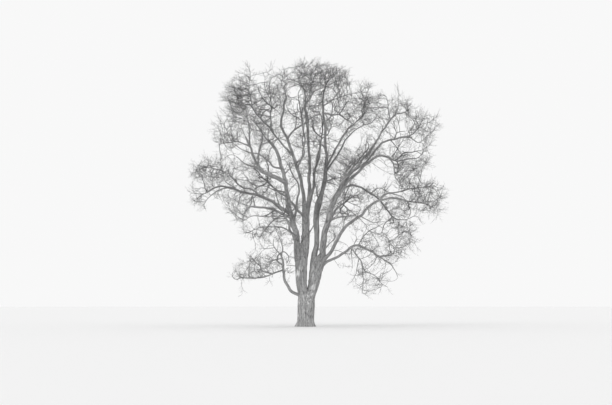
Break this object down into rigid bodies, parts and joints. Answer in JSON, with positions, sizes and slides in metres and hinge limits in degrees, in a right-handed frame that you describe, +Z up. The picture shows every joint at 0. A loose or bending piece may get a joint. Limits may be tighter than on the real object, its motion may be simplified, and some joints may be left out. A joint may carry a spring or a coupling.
{
  "type": "bare winter tree",
  "caption": "Bare winter tree: a short thick trunk forks low into upright stems whose boughs fan out and carry masses of fine leafless twigs. Stands rooted in level ground.",
  "frame": {"origin": "on the flat cut under the trunk, at ground level, by the middle of the trunk's foot", "axes": "+Z up the trunk, +X to the right as the tree is seen from the front, +Y away from that viewer"},
  "size_m": [19.7019, 15, 19.9885],
  "materials": {
    "trunk_bark": "matt ridged grey bark with paler weathered patches",
    "bough_bark": "matt darker grey bark, smoother than the trunk's",
    "twigs": "matt grey twigs"
  },
  "bodies": {
    "root": {"trunk": "trunk_bark", "left_stem": "trunk_bark", "right_stem": "trunk_bark", "centre_stem": "trunk_bark", "back_leader": "bough_bark", "back_left_bough": "bough_bark", "back_right_bough": "bough_bark", "centre_leader": "bough_bark", "far_left_bough": "bough_bark", "far_left_upper_bough": "bough_bark", "front_bough": "bough_bark", "front_leader": "bough_bark", "front_right_bough": "bough_bark", "left_bough": "bough_bark", "left_inner_bough": "bough_bark", "left_shoulder_bough": "bough_bark", "low_left_arm": "bough_bark", "low_left_riser": "bough_bark", "low_right_arm": "bough_bark", "low_right_bough": "bough_bark", "lower_left_bough": "bough_bark", "right_arch_bough": "bough_bark", "right_bough": "bough_bark", "right_centre_bough": "bough_bark", "right_drooping_bough": "bough_bark", "right_leader": "bough_bark", "right_long_bough": "bough_bark", "right_mid_bough": "bough_bark", "right_shoulder_bough": "bough_bark", "right_upper_bough": "bough_bark", "upper_left_bough": "bough_bark", "upper_left_leader": "bough_bark", "upper_left_spur": "bough_bark", "back_left_twigs": "twigs", "back_right_twigs": "twigs", "back_upper_twigs": "twigs", "far_left_low_twigs": "twigs", "far_left_twigs": "twigs", "far_right_twigs": "twigs", "far_right_upper_twigs": "twigs", "front_left_twigs": "twigs", "front_right_twigs": "twigs", "front_top_twigs": "twigs", "front_twigs": "twigs", "left_inner_twigs": "twigs", "left_shoulder_twigs": "twigs", "low_left_twigs": "twigs", "lower_left_twigs": "twigs", "lowest_right_twigs": "twigs", "right_centre_twigs": "twigs", "right_low_inner_twigs": "twigs", "right_low_twigs": "twigs", "right_mid_twigs": "twigs", "right_shoulder_twigs": "twigs", "right_upper_twigs": "twigs", "top_left_twigs": "twigs", "top_right_twigs": "twigs", "top_twigs": "twigs", "upper_left_inner_twigs": "twigs", "upper_left_twigs": "twigs"}
  },
  "joints": []
}
